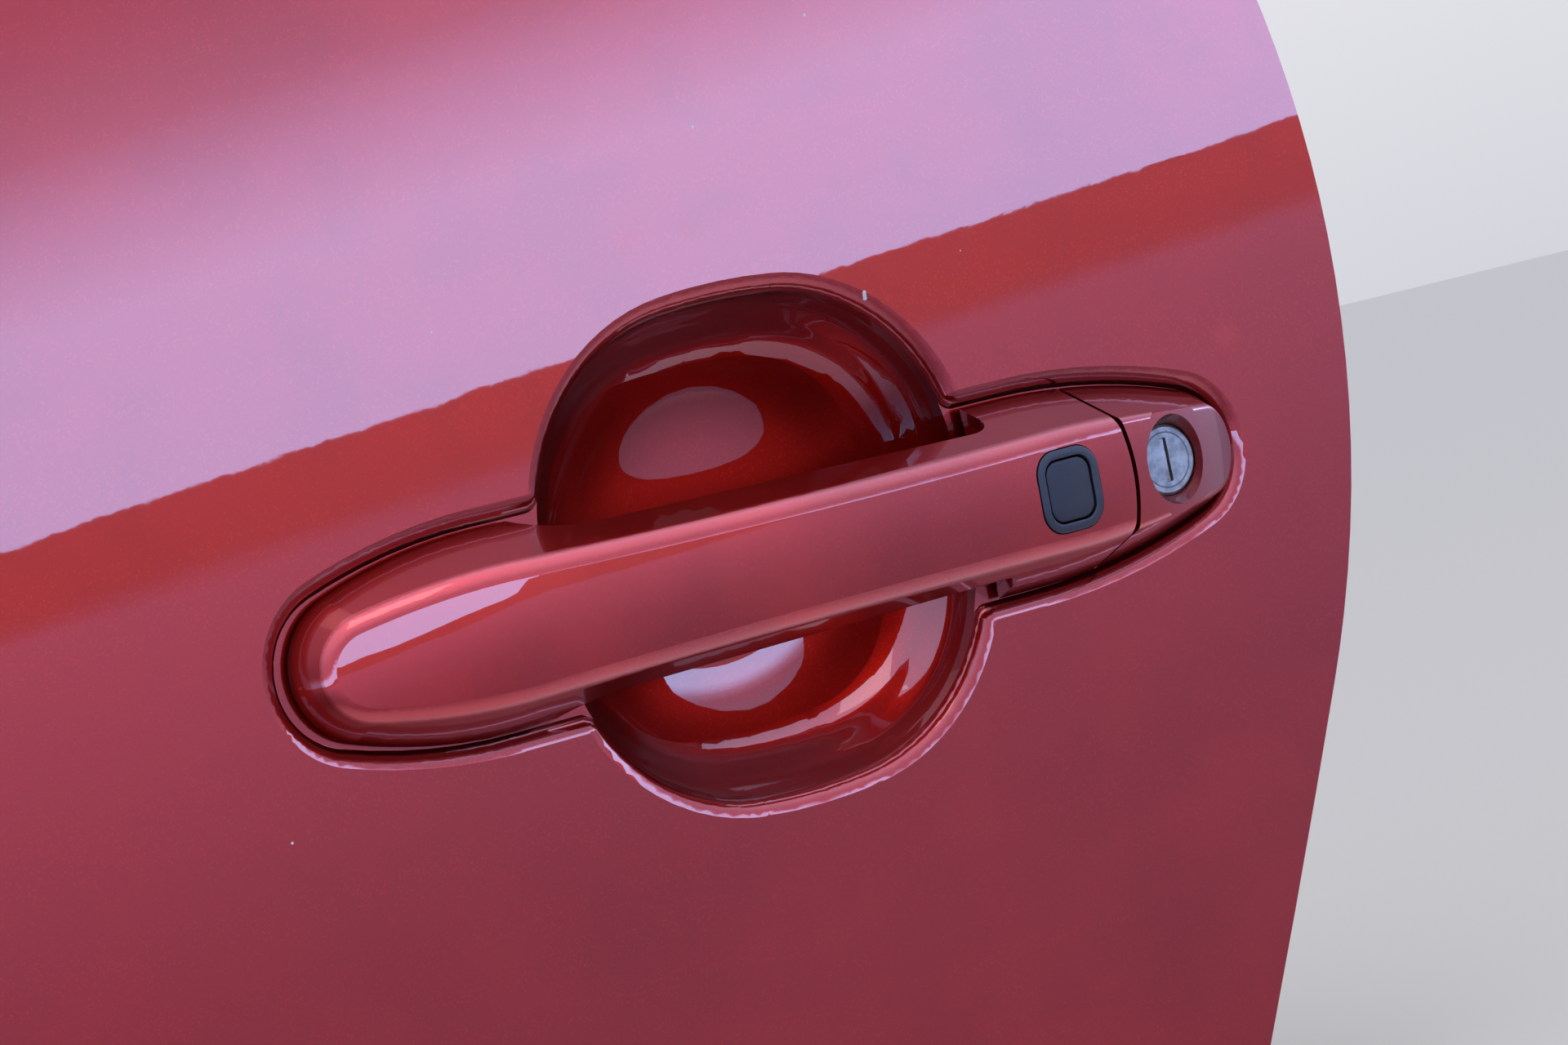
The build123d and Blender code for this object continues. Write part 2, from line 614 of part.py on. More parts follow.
def handle_base():
    """Moulded chassis behind the skin: two pads, the bridge, bosses, fork and lugs."""
    front_pad = base_pad(-FRONT_PAD_OUT, -FRONT_PAD_IN, -PAD_HALF, PAD_HALF)
    rear_pad = base_pad(REAR_PAD_IN, REAR_PAD_OUT, -REAR_PAD_LOW, REAR_PAD_HIGH)
    bridge_length = FRONT_PAD_IN + REAR_PAD_IN + 2 * RISER
    bridge_middle = (REAR_PAD_IN - FRONT_PAD_IN) / 2
    bridge_depth = BRIDGE_FRONT_DEPTH - BRIDGE_BACK_DEPTH
    bridge_y = -(BRIDGE_FRONT_DEPTH + BRIDGE_BACK_DEPTH) / 2
    bridge = Pos(bridge_middle, bridge_y, 0) * Box(bridge_length, bridge_depth, 2 * BRIDGE_HALF)
    trough = Pos(bridge_middle, bridge_y + PLATE, 0) * Box(
        bridge_length - 2 * RISER, bridge_depth, 2 * (BRIDGE_HALF - FLANGE_WALL)
    )
    bridge = bridge - trough
    span = bridge_length - 2 * RISER
    for index in range(1, BRIDGE_RIBS + 1):
        rib_x = bridge_middle - span / 2 + span * index / (BRIDGE_RIBS + 1)
        bridge = bridge + Pos(rib_x, bridge_y, 0) * Box(FLANGE_WALL, bridge_depth, 2 * BRIDGE_HALF)
    riser_length = -LAND_BACK - BRIDGE_BACK_DEPTH
    riser_y = (LAND_BACK - BRIDGE_BACK_DEPTH) / 2
    base = front_pad + rear_pad + bridge
    for riser_x in (-FRONT_PAD_IN - RISER / 2, REAR_PAD_IN + RISER / 2):
        base = base + Pos(riser_x, riser_y, 0) * Box(RISER, riser_length, 2 * BRIDGE_HALF)
    base = base + hinge_tower() + rear_boss() + lever_lugs()
    base = base - fork_slot() - base_openings()
    for side in (-1, 1):
        hole_x = side * SCREW_SPACING / 2
        hole = Pos(hole_x, (OVER - SCREW_DEPTH) / 2, 0) * Rot(90, 0, 0)
        base = base - hole * Cylinder(SCREW_HOLE_RADIUS, SCREW_DEPTH + OVER)
    return base


def base_pad(x_low, x_high, z_low, z_high):
    """Plate against the back of the land, with a stiffening flange round it."""
    width = x_high - x_low
    height = z_high - z_low
    place = Pos((x_low + x_high) / 2, (z_low + z_high) / 2)
    outline = place * RectangleRounded(width, height, PAD_CORNER)
    inner = place * RectangleRounded(
        width - 2 * FLANGE_WALL, height - 2 * FLANGE_WALL, PAD_CORNER - FLANGE_WALL
    )
    plate = prism(outline, LAND_BACK + PLATE, LAND_BACK)
    flange = prism(outline, LAND_BACK + PLATE + FLANGE, LAND_BACK + PLATE)
    return plate + (flange - prism(inner, 0, LAND_BACK + PLATE))


def hinge_tower():
    """Block at the front with the hinge fork and the front screw boss."""
    half = KNUCKLE_HEIGHT / 2 + FORK_GAP + FORK_WALL
    tower = Pos(HINGE_X, LAND_BACK / 2, HANDLE_Z) * Box(TOWER_WIDTH, -LAND_BACK, 2 * half)
    return tower


def fork_slot():
    """Gap between the fork's cheeks and the hole for the hinge pin."""
    depth = -HINGE_Y - KNUCKLE_RADIUS - FORK_GAP
    slot = Pos(HINGE_X, (LAND_BACK - depth) / 2 - OVER, HANDLE_Z) * Box(
        2 * TOWER_WIDTH, -LAND_BACK - depth + 2 * OVER, KNUCKLE_HEIGHT + 2 * FORK_GAP
    )
    pin_hole = Pos(HINGE_X, HINGE_Y, HANDLE_Z) * Cylinder(PIN_RADIUS, 2 * PAD_HALF)
    return slot + pin_hole


def rear_boss():
    """Round boss for the rear screw, from the plate to the mounting plane."""
    length = -LAND_BACK
    return Pos(SCREW_SPACING / 2, -length / 2, 0) * Rot(90, 0, 0) * Cylinder(BOSS_RADIUS, length)


def lever_lugs():
    """Two lugs that carry the lever pin."""
    height = LEVER_HUB_RADIUS * 2
    lugs = None
    for side in (-1, 1):
        lug_x = ARM_X + side * (LEVER_LENGTH / 2 + LUG_GAP + LUG / 2)
        web = Pos(lug_x, (LAND_BACK - LEVER_DEPTH) / 2, LEVER_Z) * Box(
            LUG, -LAND_BACK - LEVER_DEPTH, height
        )
        tip = Pos(lug_x, -LEVER_DEPTH, LEVER_Z) * Rot(0, 90, 0) * Cylinder(LEVER_HUB_RADIUS, LUG)
        lugs = web + tip if lugs is None else lugs + web + tip
    hole = Pos(ARM_X, -LEVER_DEPTH, LEVER_Z) * Rot(0, 90, 0) * Cylinder(PIN_RADIUS, FAR / 4)
    return lugs - hole


def base_openings():
    """Holes in the rear plate for the pull arm and the lock."""
    width = ARM_WIDTH + 2 * ARM_CLEAR - SKIN_THICKNESS
    height = ARM_HEIGHT + 2 * OPENING_CLEAR - SKIN_THICKNESS
    arm = Pos(ARM_X, HANDLE_Z) * RectangleRounded(width, height, OPENING_CORNER)
    lock = Pos(LOCK_X, HANDLE_Z) * Circle(LOCK_RADIUS + FIT)
    back = LAND_BACK + PLATE + OVER
    return prism(arm, back, LAND_BACK - OVER) + prism(lock, back, LAND_BACK - OVER)


def hinge_pin():
    """Steel pin pressed into the front fork."""
    length = KNUCKLE_HEIGHT + 2 * FORK_GAP + 2 * FORK_WALL
    return Pos(HINGE_X, HINGE_Y, HANDLE_Z) * Cylinder(PIN_RADIUS, length)


def lever_pin():
    """Steel pin pressed into the two lugs."""
    length = LEVER_LENGTH + 2 * LUG_GAP + 2 * LUG
    return Pos(ARM_X, -LEVER_DEPTH, LEVER_Z) * Rot(0, 90, 0) * Cylinder(PIN_RADIUS, length)


def lever_point(reach, angle):
    """Y and Z at a distance from the lever's axis, the angle from straight inward."""
    turn = math.radians(angle)
    return (-LEVER_DEPTH + reach * math.cos(turn), LEVER_Z + reach * math.sin(turn))


def lever_arm(x_low, width, reach, angle, root, tip):
    """Tapered arm of the lever, in a plane across the handle."""
    circles = Pos(-LEVER_DEPTH, LEVER_Z) * Circle(root) + Pos(*lever_point(reach, angle)) * Circle(tip)
    return extrude(Plane.YZ.offset(x_low) * make_hull(circles.edges()), amount=width)


def release_lever():
    """Bell crank: finger for the pull arm, output arm and seat of the weight."""
    start = ARM_X - LEVER_LENGTH / 2
    end = ARM_X + LEVER_LENGTH / 2
    axle = Pos(ARM_X, -LEVER_DEPTH, LEVER_Z) * Rot(0, 90, 0)
    lever = axle * Cylinder(LEVER_HUB_RADIUS, LEVER_LENGTH)
    root = LEVER_HUB_RADIUS
    finger_angle = LEVER_REST - 90
    finger_x = end - OUTPUT_WIDTH - FINGER_WIDTH
    lever = lever + lever_arm(finger_x, FINGER_WIDTH, LEVER_REACH, finger_angle, root, FINGER_RADIUS)
    lever = lever + lever_arm(end - OUTPUT_WIDTH, OUTPUT_WIDTH, EYE_REACH, EYE_REST, root, TAIL_RADIUS)
    seat = WEIGHT_RADIUS + WEIGHT_CUP
    lever = lever + lever_arm(finger_x, FINGER_WIDTH, WEIGHT_REACH, finger_angle + 180, root, seat)
    eye_y, eye_z = lever_point(EYE_REACH, EYE_REST)
    lever = lever - Pos(end, eye_y, eye_z) * Rot(0, 90, 0) * Cylinder(EYE_RADIUS, LEVER_LENGTH)
    weight_y, weight_z = lever_point(WEIGHT_REACH, finger_angle + 180)
    lever = lever - Pos(ARM_X, weight_y, weight_z) * Rot(0, 90, 0) * Cylinder(WEIGHT_RADIUS, FAR / 4)
    return lever - axle * Cylinder(PIN_RADIUS + PIN_PLAY, FAR / 4)


def counterweight():
    """Steel slug pressed across the lever, which keeps it shut in a side crash."""
    weight_y, weight_z = lever_point(WEIGHT_REACH, LEVER_REST + 90)
    slug = Pos(ARM_X, weight_y, weight_z) * Rot(0, 90, 0) * Cylinder(WEIGHT_RADIUS, WEIGHT_LENGTH)
    return chamfer(slug.edges().filter_by(GeomType.CIRCLE), WEIGHT_CHAMFER)


def return_spring():
    """Close-wound torsion spring on the hub, one leg on the plate, one on the finger."""
    first = ARM_X - LEVER_LENGTH / 2 + 2 * SPRING_WIRE
    pitch = 2 * SPRING_WIRE
    low = SPRING_RADIUS - SPRING_WIRE
    high = SPRING_RADIUS + SPRING_WIRE
    points = [(first - SPRING_WIRE, low)]
    for index in range(SPRING_TURNS):
        middle = first + pitch * index
        points.append((middle - SPRING_WIRE, SPRING_RADIUS))
        points.append((middle, high))
    points.append((middle + SPRING_WIRE, SPRING_RADIUS))
    points.append((middle + SPRING_WIRE, low))
    coil = revolve(make_face(Polyline(*points, points[0])), Axis.X, 360)
    spring = Pos(0, -LEVER_DEPTH, LEVER_Z) * coil
    seat = LAND_BACK + PLATE + SPRING_WIRE
    leg = -LEVER_DEPTH - seat
    fixed = Pos(first, seat + leg / 2, LEVER_Z - SPRING_RADIUS) * Rot(90, 0, 0)
    spring = spring + fixed * Cylinder(SPRING_WIRE, leg)
    start = lever_point(SPRING_RADIUS, LEVER_REST - 180)
    along = math.radians(LEVER_REST - 90)
    middle_y = start[0] + SPRING_LEG / 2 * math.cos(along)
    middle_z = start[1] + SPRING_LEG / 2 * math.sin(along)
    free = Pos(middle, middle_y, middle_z) * Rot(LEVER_REST - 180, 0, 0)
    return spring + free * Cylinder(SPRING_WIRE, SPRING_LEG)


PIECES = {
    "door_skin": door_skin,
    "grip_cover": grip_cover,
    "grip_back": grip_back,
    "button_frame": button_frame,
    "button_pad": button_pad,
    "lock_cap": lock_cap,
    "lock_housing": lock_housing,
    "lock_plug": lock_plug,
    "lock_tail": lock_tail,
    "front_gasket": lambda: gasket(LAND_Y, LAND_Y - FRONT_GASKET, False),
    "rear_gasket": lambda: gasket(LAND_Y, LAND_Y - REAR_GASKET, True),
    "handle_base": handle_base,
    "hinge_pin": hinge_pin,
    "lever_pin": lever_pin,
    "release_lever": release_lever,
    "counterweight": counterweight,
    "return_spring": return_spring,
}

os.makedirs("parts", exist_ok=True)
for name, make in PIECES.items():
    export_step(make(), f"parts/{name}.step")
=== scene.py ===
# %% [markdown]
# A car door's pull handle, set in the pressed outer panel. The solids come packed, each in its
# place and in metres, so the script adds what a paint shop and a few years of use add: gloss,
# flake, rubber, worn zinc. One measure of the whole is kept, taken as the solids come in.

# %% Load the frame
import bmesh
import bpy
import math
from mathutils import Matrix, Vector


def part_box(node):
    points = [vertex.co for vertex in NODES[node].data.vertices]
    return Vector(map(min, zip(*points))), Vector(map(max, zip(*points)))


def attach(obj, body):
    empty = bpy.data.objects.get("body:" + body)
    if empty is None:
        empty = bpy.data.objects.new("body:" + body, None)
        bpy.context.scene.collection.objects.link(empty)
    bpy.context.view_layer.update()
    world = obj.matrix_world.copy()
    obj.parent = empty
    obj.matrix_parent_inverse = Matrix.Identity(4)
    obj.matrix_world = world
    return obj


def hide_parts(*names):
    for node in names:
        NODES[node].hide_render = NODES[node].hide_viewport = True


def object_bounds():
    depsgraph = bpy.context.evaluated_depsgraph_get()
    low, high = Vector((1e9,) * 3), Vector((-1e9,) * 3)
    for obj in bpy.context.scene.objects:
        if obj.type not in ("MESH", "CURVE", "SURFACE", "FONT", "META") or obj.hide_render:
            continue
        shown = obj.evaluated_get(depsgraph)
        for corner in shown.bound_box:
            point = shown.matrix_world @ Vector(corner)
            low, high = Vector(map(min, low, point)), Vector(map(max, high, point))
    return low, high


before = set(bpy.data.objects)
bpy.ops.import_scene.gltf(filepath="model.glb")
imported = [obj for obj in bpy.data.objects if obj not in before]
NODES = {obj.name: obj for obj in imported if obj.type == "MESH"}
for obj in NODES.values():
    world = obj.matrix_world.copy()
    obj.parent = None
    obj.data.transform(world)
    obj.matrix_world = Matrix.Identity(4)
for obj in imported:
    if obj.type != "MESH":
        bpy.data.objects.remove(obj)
cad_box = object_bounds()
MM = 0.001
print("nodes:", len(NODES), "box:", cad_box)

# %% [markdown]
# The photograph looks at the handle from in front of the car and a little above, with the camera
# tipped. Turning a camera by three plain angles and then setting it back along its own line of
# sight keeps those angles readable, where a matrix of nine numbers would not.

# %% Camera
VIEW_TURN = math.radians(31)      # round the upright axis, from square on
VIEW_DIP = math.radians(4)
VIEW_ROLL = math.radians(12)
VIEW_DISTANCE = 900 * MM
VIEW_CENTRE = Vector((0, -46, 6)) * MM
FOCAL_PIXELS = 5310
IMAGE_WIDTH = 1920
SENSOR = 36

sight = Vector((
    math.sin(VIEW_TURN) * math.cos(VIEW_DIP),
    math.cos(VIEW_TURN) * math.cos(VIEW_DIP),
    -math.sin(VIEW_DIP),
))
level = Vector((math.cos(VIEW_TURN), -math.sin(VIEW_TURN), 0))
upright = level.cross(sight)
right = level * math.cos(VIEW_ROLL) - upright * math.sin(VIEW_ROLL)
up = right.cross(sight)

camera = bpy.data.objects.new("camera", bpy.data.cameras.new("camera"))
bpy.context.scene.collection.objects.link(camera)
camera.data.sensor_width = SENSOR
camera.data.lens = SENSOR * FOCAL_PIXELS / IMAGE_WIDTH
camera.data.clip_start = 0.01
turn = Matrix((right, up, -sight)).transposed().to_4x4()
camera.matrix_world = Matrix.Translation(VIEW_CENTRE - sight * VIEW_DISTANCE) @ turn
bpy.context.scene.camera = camera
bpy.context.scene.view_settings.view_transform = "Standard"
print("camera at", [round(v, 3) for v in camera.location], "lens", round(camera.data.lens, 1))

# %% [markdown]
# Materials, groups and the studio are all trees of nodes. A few short helpers keep each of them
# to a line a node: one adds a node and sets it by name, one links, one does arithmetic.

# %% Node helpers
def add(tree, kind, **values):
    """Node of a kind in a tree, with its properties or sockets set by name."""
    node = tree.nodes.new(kind)
    for name, value in values.items():
        name = name.replace("_", " ") if name.replace("_", " ") in node.inputs else name
        if name in node.inputs:
            node.inputs[name].default_value = value
        else:
            setattr(node, name, value)
    return node


def feed(tree, source, socket):
    """Link an output, or set a plain value, on a socket."""
    if isinstance(source, bpy.types.NodeSocket):
        tree.links.new(source, socket)
    else:
        socket.default_value = source


def sum_up(tree, operation, first, second=0.0, third=0.0):
    """Output of a Math node on up to three sources."""
    node = add(tree, "ShaderNodeMath", operation=operation)
    for source, socket in zip((first, second, third), node.inputs):
        feed(tree, source, socket)
    return node.outputs[0]


def fade(tree, source, start, end, low=0.0, high=1.0):
    """A source from start to end, smoothly turned into low to high."""
    node = add(tree, "ShaderNodeMapRange", interpolation_type="SMOOTHSTEP")
    for value, name in (
        (source, "Value"), (start, "From Min"), (end, "From Max"),
        (low, "To Min"), (high, "To Max"),
    ):
        feed(tree, value, node.inputs[name])
    return node.outputs[0]


def blend_colours(tree, share, under, over):
    """Mix of two colours by a share."""
    node = add(tree, "ShaderNodeMix", data_type="RGBA")
    pairs = (share, node.inputs[0]), (under, node.inputs[6]), (over, node.inputs[7])
    for source, socket in pairs:
        feed(tree, (*source, 1) if isinstance(source, tuple) else source, socket)
    return node.outputs[2]


def linear(red, green, blue):
    """Scene colour of a colour read off a screen, 0 to 255."""
    def one(value):
        value /= 255
        return value / 12.92 if value <= 0.04045 else ((value + 0.055) / 1.055) ** 2.4
    return one(red), one(green), one(blue)


# %% [markdown]
# Gloss paint shows its surroundings as much as its own colour. The studio is a plain pale room,
# darker in a band below its middle and toward its front end, that camera, mirror and glass rays
# see. One long soft strip light stands in front of the door at the camera's level, with a dim one
# below it, and only reflections show them. Matt surfaces get a neutral soft light, more from above.

# %% Studio
ROOM = [                          # the room's grey from its floor to its ceiling
    (-1.0, (0.80, 0.80, 0.85)), (-0.60, (0.72, 0.72, 0.78)), (-0.35, (0.46, 0.46, 0.49)),
    (-0.20, (0.54, 0.55, 0.60)), (0.0, (0.80, 0.80, 0.85)), (1.0, (0.80, 0.80, 0.85)),
]
ROOM_FRONT, ROOM_REAR = 0.0, 0.55  # directions in X between which the room grows lighter
FRONT_LEVEL = 0.68
DOOR_SIDE, INNER_SIDE = -0.05, 0.25  # directions in Y between which the strips grow dim
STRIPS_BEHIND = 0.2               # share of the strips that the door's inner side sees
STRIP_LEAN = -0.2                 # the strips rise toward the front of the car
STRIP_LEVEL = 0.073
STRIP_EDGE = 0.0002               # half the blur of the high strip's lower edge
MATT_LOW, MATT_HIGH = 0.1, 0.9    # shares of the way up between which the soft light grows
MATT_BELOW, MATT_ABOVE = 0.25, 1.0
LOW_STRIP = [                     # height as a sine, and brightness there
    (-1.0, (0.9, 0.7, 1.1)), (-0.60, (0.9, 0.6, 1.1)), (-0.38, (0.1, 0.1, 0.4)),
    (-0.20, (0.1, 0.2, 0.7)),
    (-0.05, (0.2, 0.45, 1.3)), (-0.034, (0.2, 0.45, 1.3)), (-0.031, (0, 0, 0.2)),
]
HIGH_STRIP = [
    (0.08, (4.2, 6.6, 12.4)), (0.12, (2.8, 4.0, 8.0)), (0.15, (1.2, 1.8, 3.8)),
    (0.20, (0.3, 0.6, 1.6)), (0.42, (1.0, 1.0, 2.0)), (0.65, (1.8, 1.8, 3.2)),
    (1.0, (2.4, 2.3, 3.9)),
]

world = bpy.data.worlds.new("studio")
bpy.context.scene.world = world
world.use_nodes = True
tree = world.node_tree
tree.nodes.clear()
place = add(tree, "ShaderNodeTexCoord")
height = add(tree, "ShaderNodeVectorMath", operation="DOT_PRODUCT")
height.inputs[1].default_value = (STRIP_LEAN, 0, 1)
tree.links.new(place.outputs["Generated"], height.inputs[0])
share = sum_up(tree, "MULTIPLY_ADD", height.outputs["Value"], 0.5, 0.5 + STRIP_LEVEL / 2)


def bands(tree, source, stops):
    """Colour by height, from stops of height and colour."""
    node = add(tree, "ShaderNodeValToRGB")
    points = node.color_ramp.elements
    while len(points) < len(stops):
        points.new(1)
    for point, (rise, colour) in zip(points, stops):
        point.position = 0.5 + rise / 2
        point.color = (*colour, 1)
    tree.links.new(source, node.inputs[0])
    return node.outputs["Color"]


room = add(tree, "ShaderNodeBackground")
tree.links.new(bands(tree, share, ROOM), room.inputs["Color"])
side = add(tree, "ShaderNodeSeparateXYZ")
tree.links.new(place.outputs["Generated"], side.inputs[0])
dimmed = fade(tree, side.outputs["X"], ROOM_FRONT, ROOM_REAR, FRONT_LEVEL, 1.0)
tree.links.new(dimmed, room.inputs["Strength"])
glow = add(tree, "ShaderNodeBackground")
edge = fade(tree, share, 0.5 - STRIP_EDGE, 0.5 + STRIP_EDGE)
strips = blend_colours(tree, edge, bands(tree, share, LOW_STRIP), bands(tree, share, HIGH_STRIP))
tree.links.new(strips, glow.inputs["Color"])
matt = add(tree, "ShaderNodeBackground", Color=(1, 1, 1, 1))
soft = fade(tree, share, MATT_LOW, MATT_HIGH, MATT_BELOW, MATT_ABOVE)
tree.links.new(soft, matt.inputs["Strength"])
rays = add(tree, "ShaderNodeLightPath")
ahead = fade(tree, side.outputs["Y"], DOOR_SIDE, INNER_SIDE, 1.0, STRIPS_BEHIND)
ahead = sum_up(tree, "MULTIPLY", ahead, rays.outputs["Is Glossy Ray"])
tree.links.new(ahead, glow.inputs["Strength"])
seen = sum_up(tree, "MAXIMUM", rays.outputs["Is Camera Ray"], rays.outputs["Is Glossy Ray"])
seen = sum_up(tree, "MAXIMUM", seen, rays.outputs["Is Transmission Ray"])
both = add(tree, "ShaderNodeAddShader")
tree.links.new(room.outputs[0], both.inputs[0])
tree.links.new(glow.outputs[0], both.inputs[1])
choice = add(tree, "ShaderNodeMixShader")
tree.links.new(seen, choice.inputs[0])
tree.links.new(matt.outputs[0], choice.inputs[1])
tree.links.new(both.outputs[0], choice.inputs[2])
out = add(tree, "ShaderNodeOutputWorld")
tree.links.new(choice.outputs[0], out.inputs[0])


def lamp(name, spot, aim, size, watts):
    """Square soft white lamp at a place, turned to its aim."""
    data = bpy.data.lights.new(name, "AREA")
    data.size = size
    data.energy = watts
    thing = bpy.data.objects.new(name, data)
    thing.location = spot
    thing.rotation_euler = (Vector(aim) - Vector(spot)).to_track_quat("-Z", "Y").to_euler()
    bpy.context.scene.collection.objects.link(thing)
    print("lamp", name, watts, "W")


lamp("top_lamp", spot=(-0.4, -0.9, 1.7), aim=(0, 0, 0), size=1.0, watts=9)

# %% [markdown]
# The effects that several finishes share are node groups with named inputs. Each reads the
# piece's own Object coordinates, which are metres in the car's frame, so a scale of 100 means a
# wave of 10 mm wherever it is used.

# %% Shared effects
def group(name, inputs, output, kind="NodeSocketFloat"):
    """Empty node group with inputs by name and value, and one output."""
    made = bpy.data.node_groups.new(name, "ShaderNodeTree")
    for label, value in inputs.items():
        form = "NodeSocketVector" if isinstance(value, tuple) else "NodeSocketFloat"
        socket = made.interface.new_socket(label, in_out="INPUT", socket_type=form)
        socket.default_value = value
    made.interface.new_socket(output, in_out="OUTPUT", socket_type=kind)
    source = made.nodes.new("NodeGroupInput")
    target = made.nodes.new("NodeGroupOutput")
    where = made.nodes.new("ShaderNodeTexCoord").outputs["Object"]
    return made, source.outputs, where, target.inputs[0]


def noise(tree, where, scale, detail=2.0):
    """Soft noise at a scale, as a value round one half."""
    node = add(tree, "ShaderNodeTexNoise", Detail=detail)
    feed(tree, where, node.inputs["Vector"])
    feed(tree, scale, node.inputs["Scale"])
    return node.outputs["Fac"]


peel, given, where, result = group("orange_peel", {"Wave": 110.0, "Ripple": 480.0}, "Height")
slow = noise(peel, where, given["Wave"], 1.0)
quick = noise(peel, where, given["Ripple"], 1.0)
peel.links.new(sum_up(peel, "MULTIPLY_ADD", quick, 0.15, slow), result)

clouds, given, where, result = group("clouds", {"Scale": 20.0, "From": 0.4, "To": 0.7}, "Mask")
soft = noise(clouds, where, given["Scale"], 4.0)
clouds.links.new(fade(clouds, soft, given["From"], given["To"]), result)

specks, given, where, result = group("specks", {"Scale": 80.0, "Size": 0.1, "Share": 0.1}, "Mask")
cells = add(specks, "ShaderNodeTexVoronoi")
specks.links.new(where, cells.inputs["Vector"])
specks.links.new(given["Scale"], cells.inputs["Scale"])
tone = add(specks, "ShaderNodeSeparateColor")
specks.links.new(cells.outputs["Color"], tone.inputs[0])
chosen = sum_up(specks, "LESS_THAN", tone.outputs[0], given["Share"])
reach = sum_up(specks, "MULTIPLY", given["Size"], tone.outputs[1])
dot = fade(specks, cells.outputs["Distance"], sum_up(specks, "MULTIPLY", reach, 0.5), reach, 1, 0)
specks.links.new(sum_up(specks, "MULTIPLY", chosen, dot), result)

spot, given, where, result = group(
    "spot", {"Centre": (0.0, 0.0, 0.0), "Reach": 0.002, "Soft": 0.5, "Ragged": 0.3}, "Mask"
)
gap = add(spot, "ShaderNodeVectorMath", operation="DISTANCE")
spot.links.new(where, gap.inputs[0])
spot.links.new(given["Centre"], gap.inputs[1])
rough = sum_up(spot, "SUBTRACT", noise(spot, where, 300.0, 3.0), 0.5)
edge = sum_up(spot, "MULTIPLY_ADD", rough, given["Ragged"], 1.0)
edge = sum_up(spot, "MULTIPLY", edge, given["Reach"])
inner = sum_up(spot, "MULTIPLY", edge, sum_up(spot, "SUBTRACT", 1.0, given["Soft"]))
spot.links.new(fade(spot, gap.outputs["Value"], inner, edge, 1, 0), result)

scuffs, given, where, result = group(
    "scuffs", {"Stretch": (40.0, 400.0, 900.0), "From": 0.6, "To": 0.8}, "Mask"
)
drawn = add(scuffs, "ShaderNodeVectorMath", operation="MULTIPLY")
scuffs.links.new(where, drawn.inputs[0])
scuffs.links.new(given["Stretch"], drawn.inputs[1])
lines = noise(scuffs, drawn.outputs[0], 1.0, 5.0)
scuffs.links.new(fade(scuffs, lines, given["From"], given["To"]), result)

grain, given, where, result = group("grain", {"Scale": 900.0}, "Height")
pebbles = add(grain, "ShaderNodeTexVoronoi", feature="SMOOTH_F1")
grain.links.new(where, pebbles.inputs["Vector"])
grain.links.new(given["Scale"], pebbles.inputs["Scale"])
fine = noise(grain, where, sum_up(grain, "MULTIPLY", given["Scale"], 2.5), 2.0)
grain.links.new(sum_up(grain, "MULTIPLY_ADD", fine, 0.4, pebbles.outputs["Distance"]), result)

rim_line, given, where, result = group(
    "rim_line", {"Centre": (0.0, 0.0, 0.0), "Radius": 0.006, "Width": 0.0002}, "Mask"
)
across = add(rim_line, "ShaderNodeVectorMath", operation="SUBTRACT")
rim_line.links.new(where, across.inputs[0])
rim_line.links.new(given["Centre"], across.inputs[1])
flat = add(rim_line, "ShaderNodeVectorMath", operation="MULTIPLY")
rim_line.links.new(across.outputs[0], flat.inputs[0])
flat.inputs[1].default_value = (1, 0, 1)
away = add(rim_line, "ShaderNodeVectorMath", operation="LENGTH")
rim_line.links.new(flat.outputs[0], away.inputs[0])
off = sum_up(rim_line, "SUBTRACT", away.outputs["Value"], given["Radius"])
off = sum_up(rim_line, "ABSOLUTE", off)
rim_line.links.new(fade(rim_line, off, 0.0, given["Width"], 1, 0), result)
print("groups:", len(bpy.data.node_groups))

# %% [markdown]
# Every finish starts from one Principled shader. The helper below makes it, sets the constants
# on the shader itself and lays it on the solids that take it. The mask helper puts one of the
# shared groups in a material with its own values.

# %% Finish helpers
def finish(name, nodes, **constants):
    """Material with constants on its shader, put on CAD nodes."""
    material = bpy.data.materials.new(name)
    material.use_nodes = True
    tree = material.node_tree
    surface = tree.nodes["Principled BSDF"]
    for label, value in constants.items():
        surface.inputs[label.replace("_", " ")].default_value = value
    for node in nodes:
        mesh = NODES[node].data
        mesh.materials.clear()
        mesh.materials.append(material)
    print("finish", name, "on", ", ".join(nodes))
    return material, tree, surface


def mask(tree, shared, **values):
    """Output of a shared group with its own values."""
    node = tree.nodes.new("ShaderNodeGroup")
    node.node_tree = shared
    for label, value in values.items():
        feed(tree, value, node.inputs[label])
    return node.outputs[0]


def bumps(tree, surface, relief, depth, coat=False):
    """Height to the shader's normal, its depth in metres."""
    bump = add(tree, "ShaderNodeBump", Strength=1.0, Distance=depth)
    tree.links.new(relief, bump.inputs["Height"])
    tree.links.new(bump.outputs[0], surface.inputs["Normal"])
    if coat:
        tree.links.new(bump.outputs[0], surface.inputs["Coat Normal"])


# %% [markdown]
# The paint is a deep red base coat with fine metal flake under a clear coat. The flake makes it
# darken as it turns away from the light, which plain red would not, so the base is mostly metal.
# The clear coat is never flat: its orange peel, a few thousandths of a millimetre deep, frays the
# edge of every reflection. Then come the marks of use, each where the photograph has it.

